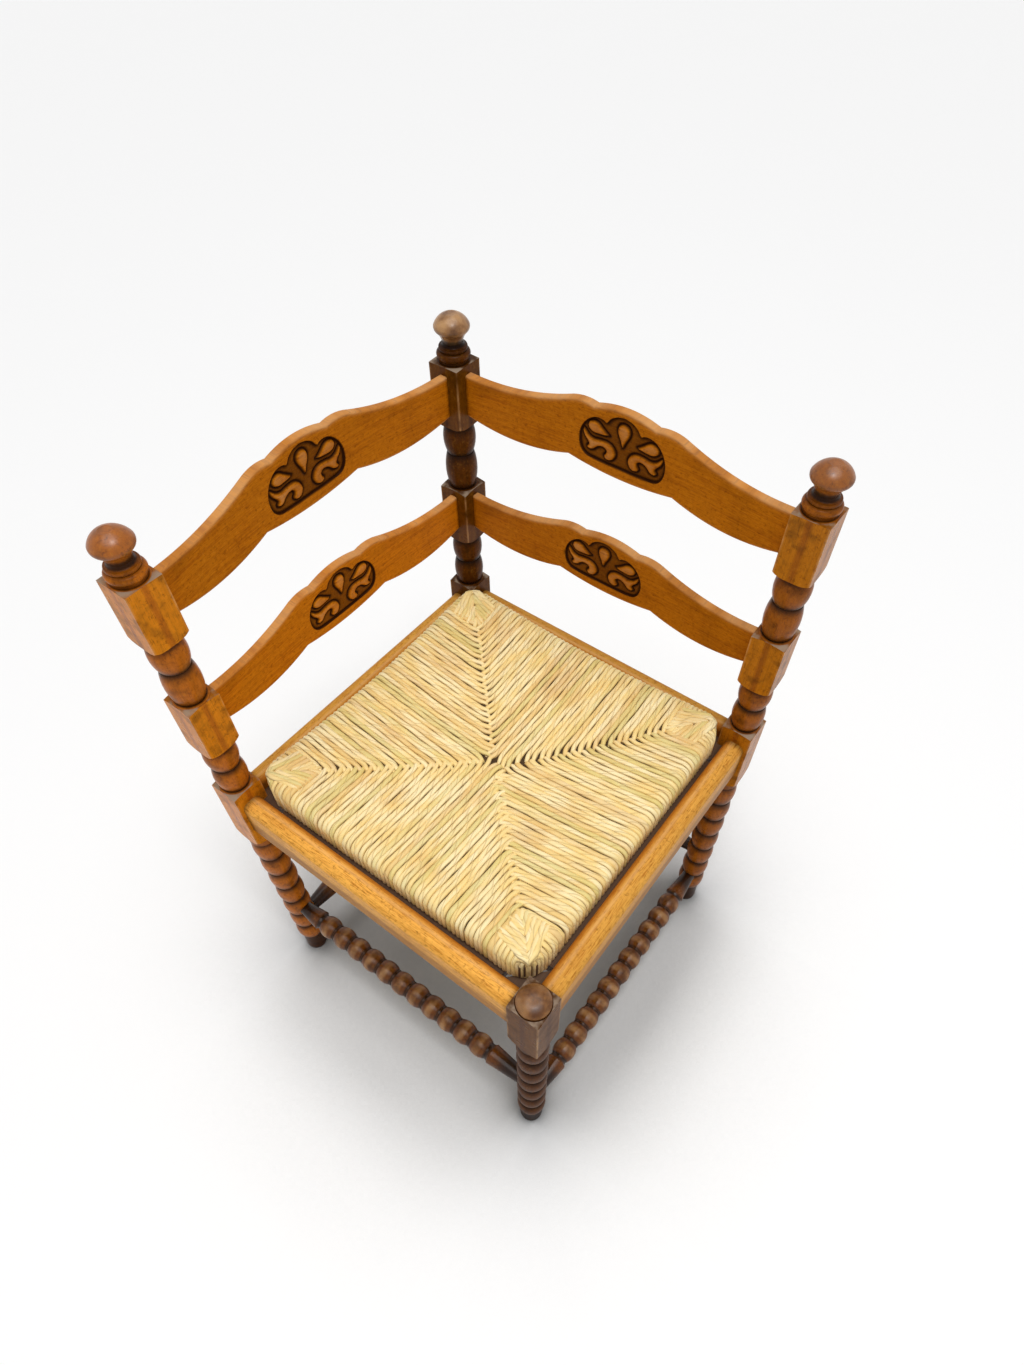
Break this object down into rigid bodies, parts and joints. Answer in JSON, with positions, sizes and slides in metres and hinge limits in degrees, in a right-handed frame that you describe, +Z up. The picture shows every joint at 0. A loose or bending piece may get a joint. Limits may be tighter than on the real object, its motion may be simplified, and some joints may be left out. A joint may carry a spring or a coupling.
{
  "type": "corner chair",
  "caption": "Corner chair with bobbin-turned posts, carved curved back splats and a drop-in rush seat that lifts out.",
  "frame": {"origin": "middle of the square plan, on the floor", "axes": "+Z up, -Y towards the front leg, +Y towards the back post, +X towards the post on the right when the chair is seen from the front leg"},
  "size_m": [0.6324, 0.6324, 0.7805],
  "materials": {
    "turned_wood": "satin",
    "rail_wood": "satin",
    "splat_wood": "satin",
    "inner_wood": "matte",
    "rush": "matte"
  },
  "bodies": {
    "chair_frame": {"back_post": "turned_wood", "left_post": "turned_wood", "right_post": "turned_wood", "front_leg": "turned_wood", "seat_rail_front_left": "rail_wood", "seat_rail_front_right": "rail_wood", "seat_rail_back_left": "rail_wood", "seat_rail_back_right": "rail_wood", "stretcher_front_left": "turned_wood", "stretcher_front_right": "turned_wood", "stretcher_back_left": "turned_wood", "stretcher_back_right": "turned_wood", "splat_upper_left": "splat_wood", "splat_upper_right": "splat_wood", "splat_lower_left": "splat_wood", "splat_lower_right": "splat_wood", "corner_block_front": "inner_wood", "corner_block_right": "inner_wood", "corner_block_back": "inner_wood", "corner_block_left": "inner_wood", "seat_cleat_front_left": "inner_wood", "seat_cleat_front_right": "inner_wood", "seat_cleat_back_left": "inner_wood", "seat_cleat_back_right": "inner_wood"},
    "drop_in_seat": {"rush_seat": "rush", "slip_rail_front_left": "inner_wood", "slip_rail_front_right": "inner_wood", "slip_rail_back_left": "inner_wood", "slip_rail_back_right": "inner_wood"}
  },
  "joints": [
    {"name": "seat_lift", "type": "slide", "parent": "chair_frame", "child": "drop_in_seat", "axis": [0, 0, 1], "range_m": [0, 0.12]}
  ]
}
